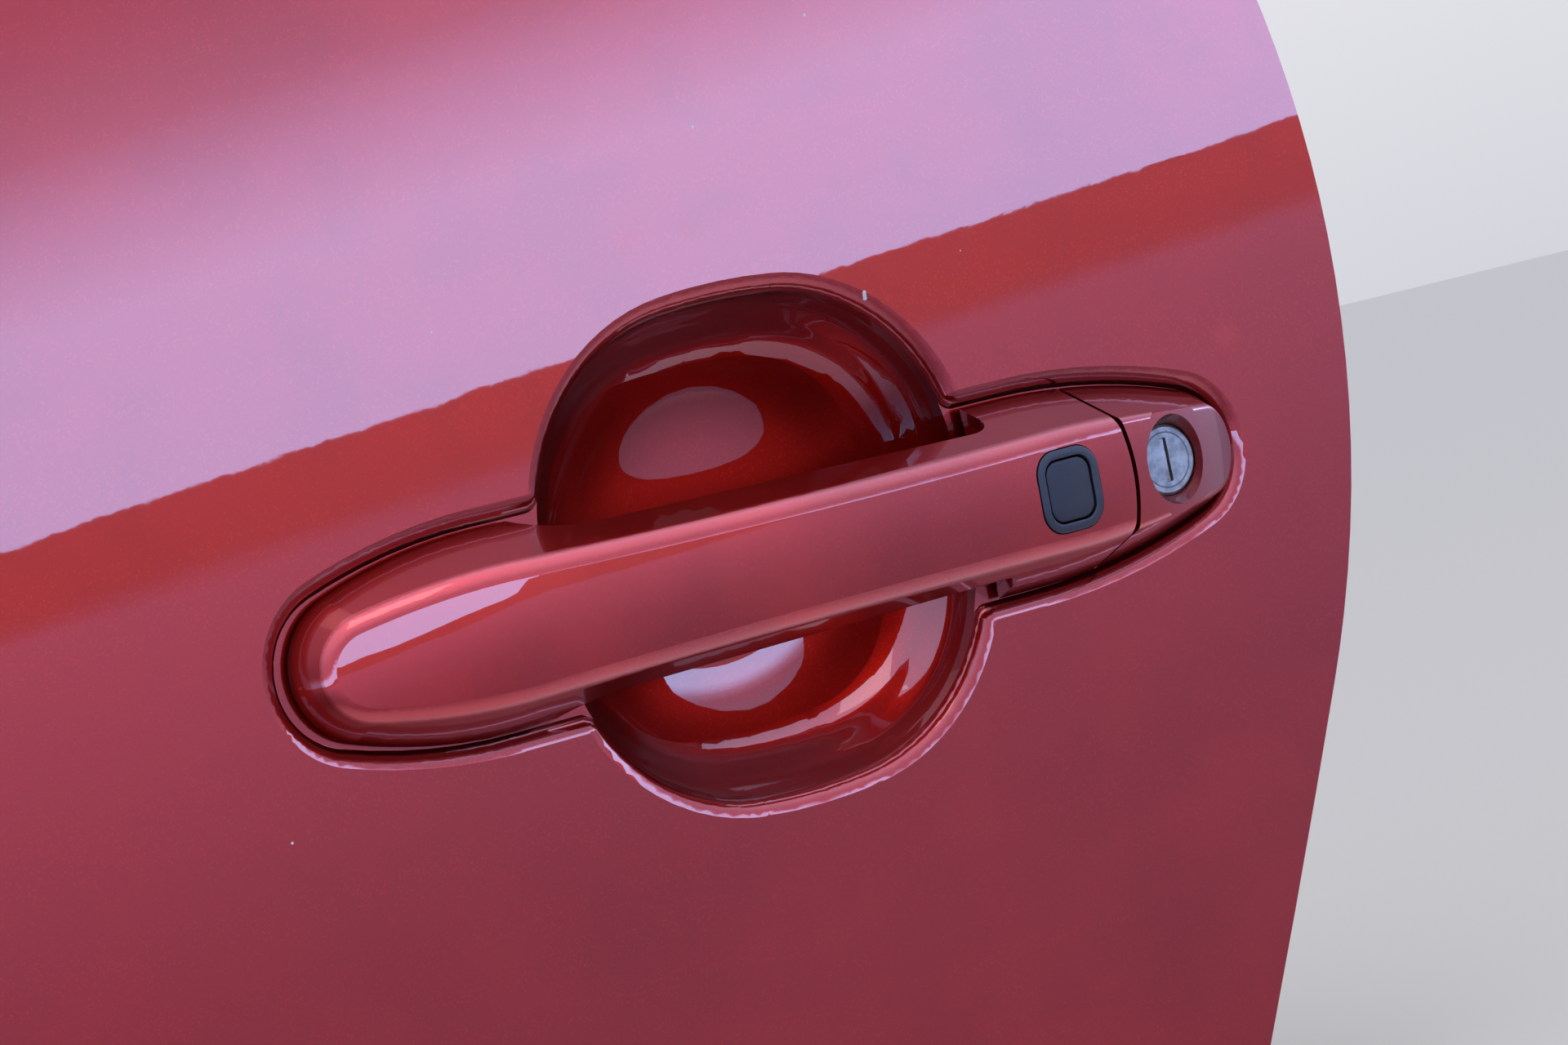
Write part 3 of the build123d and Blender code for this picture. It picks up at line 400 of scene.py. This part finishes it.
# %% Paint
PAINT = linear(128, 16, 9)
MOULDING_PAINT = linear(144, 25, 16)
DEEP_PAINT = linear(118, 12, 7)
FLAKE = linear(160, 34, 20)
PRIMER = linear(190, 200, 215)
DUST = linear(205, 190, 195)
WAX = linear(150, 48, 36)
PEEL_DEPTH = 0.005 * MM
LACQUER_IOR = 1.5
LACQUER_BLUR = 0.012
METAL_SHARE = 0.9
FLAKE_CELLS = 2600.0              # flakes to a metre
FLAKE_TINT = 0.3
BASE_SMOOTH, BASE_ROUGH = 0.36, 0.40


def paint(name, nodes, body=PAINT, chips=(), hazes=()):
    """Gloss paint with flake, dust, chips to the primer, and hazy places, each in millimetres."""
    _, tree, surface = finish(
        name, nodes, Specular_IOR_Level=0.0, Coat_IOR=LACQUER_IOR, Coat_Roughness=LACQUER_BLUR
    )
    colour = blend_colours(tree, mask(tree, clouds, Scale=9.0), body, DEEP_PAINT)
    flake = mask(tree, specks, Scale=FLAKE_CELLS, Size=0.9, Share=0.35)
    colour = blend_colours(tree, sum_up(tree, "MULTIPLY", flake, FLAKE_TINT), colour, FLAKE)
    dull = 0.0
    for place, reach, strength in hazes:
        haze = mask(
            tree, spot, Centre=tuple(v * MM for v in place), Reach=reach * MM, Soft=0.9, Ragged=1.6
        )
        haze = sum_up(tree, "MULTIPLY", haze, strength)
        colour = blend_colours(tree, haze, colour, WAX)
        dull = sum_up(tree, "MAXIMUM", dull, haze)
    dust = mask(tree, specks, Scale=70.0, Size=0.014, Share=0.16)
    for place, reach in chips:
        chip = mask(
            tree, spot, Centre=tuple(v * MM for v in place), Reach=reach * MM, Soft=0.25, Ragged=0.9
        )
        dust = sum_up(tree, "MAXIMUM", dust, chip)
    colour = blend_colours(tree, dust, colour, PRIMER if chips else DUST)
    tree.links.new(colour, surface.inputs["Base Color"])
    bare = sum_up(tree, "MAXIMUM", dust, sum_up(tree, "MULTIPLY", dull, 0.5))
    tree.links.new(sum_up(tree, "SUBTRACT", 1.0, bare), surface.inputs["Coat Weight"])
    metal = sum_up(tree, "MULTIPLY_ADD", dust, -METAL_SHARE, METAL_SHARE)
    tree.links.new(metal, surface.inputs["Metallic"])
    uneven = mask(tree, clouds, Scale=45.0)
    rough = fade(tree, uneven, 0, 1, BASE_SMOOTH, BASE_ROUGH)
    tree.links.new(rough, surface.inputs["Roughness"])
    bumps(tree, surface, mask(tree, peel), PEEL_DEPTH, coat=True)


paint(
    "paint_skin", ["door_skin"],
    chips=[
        ((31.4, -45.3, 48.8), 0.6), ((31.4, -45.3, 48.2), 0.6), ((31.4, -45.3, 47.6), 0.6),
        ((33.0, -31.2, 33.9), 0.5), ((-0.4, -43.9, 90.0), 0.3), ((32.7, -42.9, 108.5), 0.3),
        ((-123.5, -45.8, -30.6), 0.3),
    ],
    hazes=[
        ((-22.0, -44.7, 70.0), 5.0, 0.12), ((-7.0, -44.6, 70.0), 4.0, 0.12),
        ((121.8, -45.9, 22.1), 5.0, 0.22),
    ],
)
paint(
    "paint_grip", ["grip_cover"], MOULDING_PAINT,
    hazes=[
        ((-25.0, -65.8, -3.0), 8.0, 0.15), ((-12.0, -65.6, -7.0), 9.0, 0.18),
        ((2.0, -65.7, -6.0), 8.0, 0.15),
    ],
)
paint("paint_cap", ["lock_cap"], MOULDING_PAINT)

# %% [markdown]
# A press draws the finger pocket deeper in its middle than a plain bowl, with a nearly flat
# floor, and the paint shows that in the shape of its highlights. So the panel is a copy of the
# solid, merged, with the pocket's bottom eased toward flat. The depth alone changes, by up to
# 3.5 mm and never past the solid's deepest point. The copy's shading normals are turned by the
# same slope, because a gloss surface shows its normals more than its facets.

# %% Pocket floor
POCKET_FLOOR = -19.5 * MM
SHEET = 0.8 * MM
EASE_DROP = 14.0 * MM             # the floor is eased from this far above its bottom
FLOOR_SHARE = 0.05                # share of the bowl's slope that is left at the bottom
POCKET_REACH = 60.0 * MM
EASE_CUTS = 2                     # finer facets, so that the new slope shades smoothly
SAME_PLACE = 0.001 * MM


def eased(drop):
    """New height above the bottom, and how much steeper it runs there."""
    share = min(max(drop / EASE_DROP, 0), 1)
    swell = share**2 * (3 - 2 * share)
    slope = swell + share * 6 * share * (1 - share)
    left = 1 - FLOOR_SHARE
    return drop * (FLOOR_SHARE + left * swell), FLOOR_SHARE + left * slope


def in_pocket(point):
    """Whether a point lies in the part of the pocket that is eased."""
    return abs(point.x) < POCKET_REACH and point.y > POCKET_FLOOR - EASE_DROP


panel = NODES["door_skin"].data.copy()
panel.name = "pressed_skin"
kept = panel.attributes.new("turned", "FLOAT_VECTOR", "CORNER")
kept.data.foreach_set("vector", [v for normal in panel.corner_normals for v in normal.vector])
shape = bmesh.new()
shape.from_mesh(panel)
bmesh.ops.remove_doubles(shape, verts=shape.verts, dist=SAME_PLACE)
deep = [edge for edge in shape.edges if all(in_pocket(vert.co) for vert in edge.verts)]
bmesh.ops.subdivide_edges(shape, edges=deep, cuts=EASE_CUTS, use_grid_fill=True)
bmesh.ops.triangulate(shape, faces=[face for face in shape.faces if len(face.verts) > 3])
shape.to_mesh(panel)
shape.free()
turned = [entry.vector.copy() for entry in panel.attributes["turned"].data]
moved = {}
for corner, normal in zip(panel.loops, turned):
    place = panel.vertices[corner.vertex_index].co
    if in_pocket(place):
        bottom = POCKET_FLOOR if normal.y < 0 else POCKET_FLOOR + SHEET
        risen, steeper = eased(bottom - place.y)
        moved[corner.vertex_index] = bottom - risen
        normal.x *= steeper
        normal.z *= steeper
    normal.normalize()
for index, new_y in moved.items():
    panel.vertices[index].co.y = new_y
panel.normals_split_custom_set([normal[:] for normal in turned])
panel.attributes.remove(panel.attributes["turned"])
skin = bpy.data.objects.new("pressed_skin", panel)
bpy.context.scene.collection.objects.link(skin)
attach(skin, "door")
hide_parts("door_skin")
print("pocket points eased:", len(moved), "of", len(panel.vertices))

# %% [markdown]
# The lock is cast zinc that years of keys and weather have dulled: grey with a blue cast, pitted,
# with dirt in the hairline between the turning plug and its sleeve. The line is far thinner than
# a pixel, so a mask at the plug's radius draws the dirt that makes it show.

# %% Lock zinc
LOCK_LOW, LOCK_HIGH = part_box("lock_plug")
LOCK_CENTRE = ((LOCK_LOW[0] + LOCK_HIGH[0]) / 2, 0.0, (LOCK_LOW[2] + LOCK_HIGH[2]) / 2)
PLUG_RADIUS = (LOCK_HIGH[0] - LOCK_LOW[0]) / 2
ZINC = linear(136, 141, 148)
DULL_ZINC = linear(106, 110, 116)
PIT = linear(58, 62, 72)
GRIME = linear(38, 40, 48)
for name, node in (("zinc", "lock_housing"), ("plug_zinc", "lock_plug")):
    material, tree, surface = finish(name, [node])
    worn = mask(tree, clouds, Scale=420.0, From=0.35, To=0.65)
    colour = blend_colours(tree, worn, DULL_ZINC, ZINC)
    pits = mask(tree, specks, Scale=1500.0, Size=0.5, Share=0.14)
    colour = blend_colours(tree, sum_up(tree, "MULTIPLY", pits, 0.6), colour, PIT)
    dirt = mask(tree, rim_line, Centre=LOCK_CENTRE, Radius=PLUG_RADIUS, Width=0.28 * MM)
    dirt = sum_up(tree, "MULTIPLY", dirt, 0.85)
    colour = blend_colours(tree, dirt, colour, GRIME)
    tree.links.new(colour, surface.inputs["Base Color"])
    tree.links.new(sum_up(tree, "MULTIPLY_ADD", dirt, -0.35, 0.4), surface.inputs["Metallic"])
    drawn = mask(tree, scuffs, Stretch=(500.0, 500.0, 2600.0))
    shine = sum_up(tree, "MULTIPLY_ADD", drawn, 0.2, 0.38)
    tree.links.new(shine, surface.inputs["Roughness"])
    where = add(tree, "ShaderNodeTexCoord").outputs["Object"]
    sunk = sum_up(tree, "MULTIPLY", pits, 0.7)
    relief = sum_up(tree, "SUBTRACT", noise(tree, where, 900.0, 4.0), sunk)
    bumps(tree, surface, relief, 0.04 * MM)
plug_finish = material

# %% [markdown]
# The rest of the metal is behind the panel: ground pins, a turned counterweight, music wire and a
# pressed crank. Bright steel differs from piece to piece by how it was cut, so the finish is one
# function, with the direction of its fine scratches as an input.

# %% Steel
def steel(name, nodes, colour, stretch, shine, stain):
    """Bright or plated steel with drawn scratches and light stains."""
    _, tree, surface = finish(name, nodes, Metallic=1.0)
    lines = mask(tree, scuffs, Stretch=stretch, From=0.45, To=0.75)
    patches = sum_up(tree, "MULTIPLY", mask(tree, clouds, Scale=160.0), stain)
    tint = tuple(0.55 * v for v in colour)
    tree.links.new(blend_colours(tree, patches, colour, tint), surface.inputs["Base Color"])
    rough = sum_up(tree, "MULTIPLY_ADD", lines, 0.18, shine)
    tree.links.new(sum_up(tree, "MULTIPLY_ADD", patches, 0.2, rough), surface.inputs["Roughness"])
    bumps(tree, surface, lines, 0.01 * MM)


steel("ground_steel", ["hinge_pin", "lever_pin"], linear(186, 188, 192), (900, 900, 900), 0.18, 0.3)
steel("turned_steel", ["counterweight"], linear(165, 166, 168), (3000, 60, 60), 0.30, 0.5)
steel("spring_wire", ["return_spring"], linear(140, 142, 148), (700, 700, 700), 0.25, 0.3)
steel("plated_steel", ["lock_tail"], linear(196, 184, 140), (120, 500, 900), 0.32, 0.5)

# %% [markdown]
# Rubber and moulded plastic have no shine of their own to speak of: what tells them apart is the
# grain that the mould leaves, and the dust that stays in it. The grip's inner half is such a
# moulding, but it is sprayed with the grip, so it is body colour where it stands outside.

# %% Rubber and plastics
def moulded(name, nodes, colour, dusty, rough, grain_scale, depth, dust=0.25, **constants):
    """Moulded rubber or plastic with the mould's grain, and dust in patches."""
    material, tree, surface = finish(name, nodes, **constants)
    relief = mask(tree, grain, Scale=grain_scale)
    patches = sum_up(tree, "MULTIPLY", mask(tree, clouds, Scale=60.0), dust)
    tree.links.new(blend_colours(tree, patches, colour, dusty), surface.inputs["Base Color"])
    low = sum_up(tree, "MULTIPLY_ADD", relief, 0.1, rough)
    tree.links.new(sum_up(tree, "MULTIPLY_ADD", patches, 0.2, low), surface.inputs["Roughness"])
    bumps(tree, surface, relief, depth)
    return material


GREY_DUST = linear(120, 116, 110)
SPRAY_FULL = -43.0 * MM           # the grip's inner half is body colour outside this depth
SPRAY_END = -41.5 * MM
moulded("gasket_rubber", ["front_gasket", "rear_gasket"],
        linear(24, 25, 27), GREY_DUST, 0.62, 1400.0, 0.02 * MM)
moulded("base_plastic", ["handle_base"], linear(38, 39, 41), GREY_DUST, 0.48, 1100.0, 0.04 * MM)
inner = moulded("grip_inner", ["grip_back"],
                linear(30, 30, 33), GREY_DUST, 0.45, 1300.0, 0.03 * MM)
tree = inner.node_tree
surface = next(node for node in tree.nodes if node.type == "BSDF_PRINCIPLED")
depth = add(tree, "ShaderNodeSeparateXYZ")
tree.links.new(add(tree, "ShaderNodeTexCoord").outputs["Object"], depth.inputs[0])
sprayed = fade(tree, depth.outputs["Y"], SPRAY_FULL, SPRAY_END, 1.0, 0.0)
bare = surface.inputs["Base Color"].links[0].from_socket
tree.links.new(blend_colours(tree, sprayed, bare, PAINT), surface.inputs["Base Color"])
tree.links.new(sum_up(tree, "MULTIPLY", sprayed, METAL_SHARE), surface.inputs["Metallic"])
tree.links.new(sprayed, surface.inputs["Coat Weight"])
moulded("lever_plastic", ["release_lever"],
        linear(206, 204, 196), linear(150, 142, 128), 0.42, 1500.0, 0.02 * MM)
ring_finish = moulded("button_ring", ["button_frame"],
                      linear(13, 19, 31), GREY_DUST, 0.38, 2400.0, 0.01 * MM, 0.05,
                      Specular_IOR_Level=0.35)
pad_finish = moulded("button_rubber", ["button_pad"],
                     linear(9, 14, 28), GREY_DUST, 0.42, 2600.0, 0.01 * MM, 0.05,
                     Specular_IOR_Level=0.3)

# %% [markdown]
# The request button is a rubber pad in a moulded ring. Both are rounded squares with rolled
# edges, and both follow the grip's crowned face. So each starts as one square face: its corners
# are bevelled, insets give it rows to bend, an extrusion gives it thickness, a second bevel
# rolls its front edges, and the finished shape is laid on the curve of the face.

# %% Request button
FACE_PEAK = Vector((12.0, -66.4, 3.8)) * MM
FACE_BOW = 1250 * MM
FACE_CROWN = 110 * MM
RING_FACE = (16.0 * MM, 17.6 * MM, 5.2 * MM)  # width, height and corner
RING_BAND = 1.9 * MM
RING_FRONT = -0.45 * MM           # how far each stands out of the grip's face
RING_BACK = 2.5 * MM
RING_ROLL = 0.28 * MM
PAD_FACE = (11.5 * MM, 13.1 * MM, 3.2 * MM)
PAD_ROWS = (0.9 * MM, 1.0 * MM, 1.0 * MM)
PAD_FRONT = -0.1 * MM
PAD_BACK = 1.9 * MM
PAD_ROLL = 0.4 * MM
SAME_LEVEL = 0.01 * MM
RING_LOW, RING_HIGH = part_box("button_frame")
BUTTON_MIDDLE = Vector(((RING_LOW[0] + RING_HIGH[0]) / 2, 0, (RING_LOW[2] + RING_HIGH[2]) / 2))


def rounded_square(width, height, corner):
    """Mesh of one rounded square face, lying in the plane of X and Z."""
    shape = bmesh.new()
    bmesh.ops.create_grid(shape, x_segments=1, y_segments=1, size=0.5)
    bmesh.ops.scale(shape, vec=(width, height, 1), verts=shape.verts)
    bmesh.ops.rotate(shape, matrix=Matrix.Rotation(math.pi / 2, 3, "X"), verts=shape.verts)
    bmesh.ops.bevel(
        shape, geom=shape.verts[:], offset=corner, offset_type="OFFSET", affect="VERTICES",
        segments=10, profile=0.5, material=-1,
    )
    return shape


def thicken(shape, front, back):
    """Extrude flat faces from a back level to a front level."""
    bmesh.ops.translate(shape, vec=(0, back, 0), verts=shape.verts)
    grown = bmesh.ops.extrude_face_region(shape, geom=shape.faces[:])["geom"]
    ahead = [item for item in grown if isinstance(item, bmesh.types.BMVert)]
    bmesh.ops.translate(shape, vec=(0, front - back, 0), verts=ahead)


def roll_edges(shape, front, radius):
    """Bevel the sharp edges that lie on the front."""
    sharp = [
        edge for edge in shape.edges
        if all(abs(vert.co.y - front) < SAME_LEVEL for vert in edge.verts)
        and len(edge.link_faces) == 2 and edge.calc_face_angle() > math.radians(60)
    ]
    bmesh.ops.bevel(
        shape, geom=sharp, offset=radius, offset_type="OFFSET", affect="EDGES",
        segments=4, profile=0.5, material=-1,
    )


def lay_on_face(shape):
    """Move a flat shape to the button's place and bend it to the face of the grip."""
    for vert in shape.verts:
        vert.co += BUTTON_MIDDLE
        along = vert.co.x - FACE_PEAK.x
        across = vert.co.z - FACE_PEAK.z
        vert.co.y += FACE_PEAK.y + along**2 / (2 * FACE_BOW) + across**2 / (2 * FACE_CROWN)


def piece_from(shape, name, body, node, material):
    """Finished object from a bmesh, riding on its body in the place of a node."""
    bmesh.ops.recalc_face_normals(shape, faces=shape.faces)
    mesh = bpy.data.meshes.new(name)
    shape.to_mesh(mesh)
    shape.free()
    mesh.shade_smooth()
    mesh.set_sharp_from_angle(angle=math.radians(40))
    mesh.materials.append(material)
    made = bpy.data.objects.new(name, mesh)
    bpy.context.scene.collection.objects.link(made)
    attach(made, body)
    if node:
        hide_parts(node)
    print(name, len(mesh.polygons), "faces")


ring = rounded_square(*RING_FACE)
bmesh.ops.inset_region(ring, faces=ring.faces[:], thickness=RING_BAND, use_boundary=True)
middle = max(ring.faces, key=lambda face: face.calc_area())
bmesh.ops.delete(ring, geom=[middle], context="FACES_ONLY")
thicken(ring, RING_FRONT, RING_BACK)
roll_edges(ring, RING_FRONT, RING_ROLL)
lay_on_face(ring)
piece_from(ring, "button_ring", "grip", "button_frame", ring_finish)

pad = rounded_square(*PAD_FACE)
for row in PAD_ROWS:
    middle = max(pad.faces, key=lambda face: face.calc_area())
    bmesh.ops.inset_region(pad, faces=[middle], thickness=row, use_boundary=True)
thicken(pad, PAD_FRONT, PAD_BACK)
roll_edges(pad, PAD_FRONT, PAD_ROLL)
lay_on_face(pad)
piece_from(pad, "button_pad_dome", "grip", "button_pad", pad_finish)

# %% [markdown]
# Behind the key's slit sits a small sprung shutter that keeps rain out. It fills the keyway but
# for a hair at one side, so the slit looks thinner than the hole that was cut for it.

# %% Key shutter
KEYWAY_HALF = 4.8 * MM
SHUTTER_LEFT = -0.83 * MM
SHUTTER_RIGHT = 0.22 * MM
SHUTTER_THICK = 2.0 * MM
SHUTTER_PLAY = 0.1 * MM           # left free along the slit
SHUTTER_EDGE = 0.12 * MM
SHUTTER_DEPTH = 1.12 * MM         # of its middle, behind the lock's face
shutter = bmesh.new()
bmesh.ops.create_cube(shutter, size=1)
size = (SHUTTER_RIGHT - SHUTTER_LEFT, SHUTTER_THICK, 2 * KEYWAY_HALF - SHUTTER_PLAY)
bmesh.ops.scale(shutter, vec=size, verts=shutter.verts)
bmesh.ops.bevel(
    shutter, geom=shutter.edges[:], offset=SHUTTER_EDGE, offset_type="OFFSET", affect="EDGES",
    segments=3, profile=0.5, material=-1,
)
place = Vector((
    LOCK_CENTRE[0] + (SHUTTER_LEFT + SHUTTER_RIGHT) / 2, LOCK_LOW[1] + SHUTTER_DEPTH,
    LOCK_CENTRE[2],
))
bmesh.ops.translate(shutter, vec=place, verts=shutter.verts)
piece_from(shutter, "key_shutter", "key_plug", None, plug_finish)

# %% [markdown]
# The floor is a plain pale plane just under the panel. It keeps the object's shadow. Its grey is
# close to the room's, so that little of a line shows where it ends.

# %% Floor
FLOOR_HALF = 3
FLOOR_DROP = 2 * MM
FLOOR_TONE = (0.48, 0.475, 0.47)
shape = bmesh.new()
bmesh.ops.create_grid(shape, x_segments=1, y_segments=1, size=FLOOR_HALF)
bmesh.ops.translate(shape, vec=(0, 0, cad_box[0][2] - FLOOR_DROP), verts=shape.verts)
mesh = bpy.data.meshes.new("floor")
shape.to_mesh(mesh)
shape.free()
floor = bpy.data.objects.new("floor", mesh)
bpy.context.scene.collection.objects.link(floor)
pale = bpy.data.materials.new("floor")
pale.use_nodes = True
surface = pale.node_tree.nodes["Principled BSDF"]
surface.inputs["Base Color"].default_value = (*FLOOR_TONE, 1)
surface.inputs["Roughness"].default_value = 0.9
mesh.materials.append(pale)
floor.visible_glossy = False
